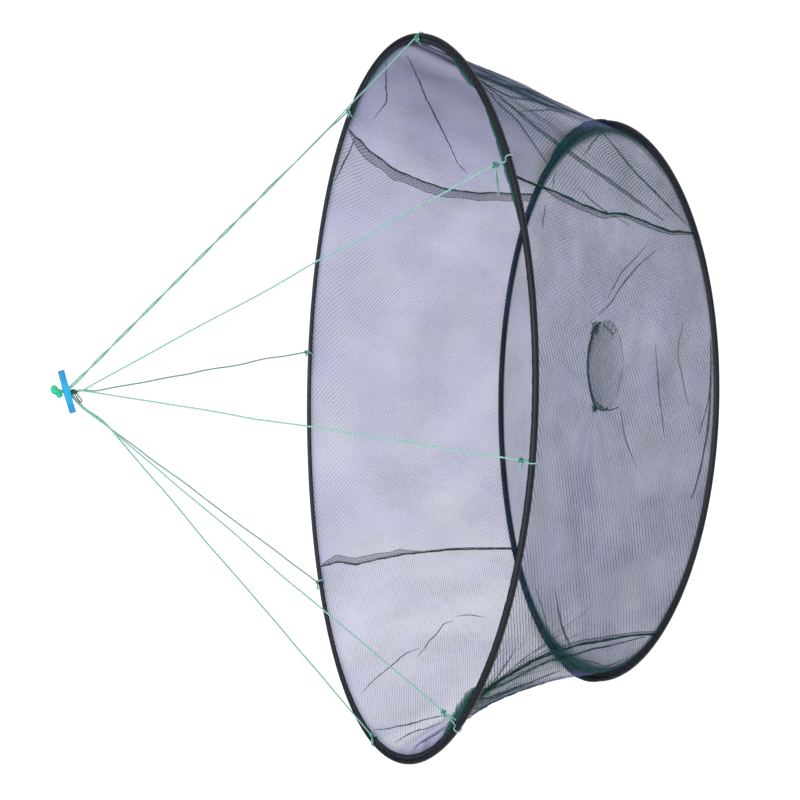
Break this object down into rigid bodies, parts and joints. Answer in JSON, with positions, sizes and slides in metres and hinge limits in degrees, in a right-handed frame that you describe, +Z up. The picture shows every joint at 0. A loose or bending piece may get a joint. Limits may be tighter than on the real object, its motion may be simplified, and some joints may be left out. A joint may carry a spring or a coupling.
{
  "type": "folding crab net",
  "caption": "Folding crab net: a large sprung mouth hoop and a smaller base hoop joined by fine netting, hung on gathered lines from a toggle bar.",
  "frame": {"origin": "middle of the toggle bar, where the haul rope is made fast", "axes": "+Z up along the net's axis from the base to the toggle bar, +X towards the raised end of the toggle bar, +Y away from the picture's camera"},
  "size_m": [0.8012, 0.7995, 0.6176],
  "materials": {
    "toggle_plastic": "bright blue moulded plastic, satin gloss",
    "stopper_cord": "bright green braided cord, ends melted",
    "line": "mint green twisted nylon line",
    "spring_wire": "drawn spring steel",
    "ferrule": "crimped brass tube",
    "tape": "black woven binding tape with a faint sheen",
    "netting": "fine dark blue green knotless netting, about 3 mm mesh",
    "seam": "the same netting, doubled and sewn",
    "thread": "dark twisted cord"
  },
  "bodies": {
    "hub": {"stopper_knot": "stopper_cord", "gather_knot": "line", "bridle_line_1": "line", "bridle_line_2": "line", "bridle_line_3": "line", "bridle_line_4": "line", "bridle_line_5": "line", "bridle_line_6": "line", "bridle_line_7": "line", "bridle_line_8": "line"},
    "toggle": {"toggle_bar": "toggle_plastic"},
    "mouth_hoop": {"mouth_hoop_wire": "spring_wire", "mouth_hoop_ferrule": "ferrule", "mouth_hoop_tape": "tape", "line_knot_1": "line", "line_knot_2": "line", "line_knot_3": "line", "line_knot_4": "line", "line_knot_5": "line", "line_knot_6": "line", "line_knot_7": "line", "line_knot_8": "line", "wall_panel_1": "netting", "wall_panel_2": "netting", "wall_panel_3": "netting", "wall_panel_4": "netting", "wall_seam_1": "seam", "wall_seam_2": "seam", "wall_seam_3": "seam", "wall_seam_4": "seam"},
    "base_hoop": {"base_hoop_wire": "spring_wire", "base_hoop_ferrule": "ferrule", "base_hoop_tape": "tape", "base_panel": "netting", "bait_pocket": "seam", "pocket_drawcord": "thread"}
  },
  "joints": [
    {"name": "toggle_spin", "type": "hinge", "parent": "hub", "child": "toggle", "pos_m": [0, 0, 0], "axis": [0, 0, 1], "continuous": true},
    {"name": "bridle_fold", "type": "slide", "parent": "hub", "child": "mouth_hoop", "axis": [0, 0, 1], "range_m": [0, 0.35], "deforming": ["bridle_line_1", "bridle_line_2", "bridle_line_3", "bridle_line_4", "bridle_line_5", "bridle_line_6", "bridle_line_7", "bridle_line_8"]},
    {"name": "basket_fold", "type": "slide", "parent": "mouth_hoop", "child": "base_hoop", "axis": [0, 0, 1], "range_m": [0, 0.21], "deforming": ["wall_panel_1", "wall_panel_2", "wall_panel_3", "wall_panel_4", "wall_seam_1", "wall_seam_2", "wall_seam_3", "wall_seam_4"]}
  ]
}
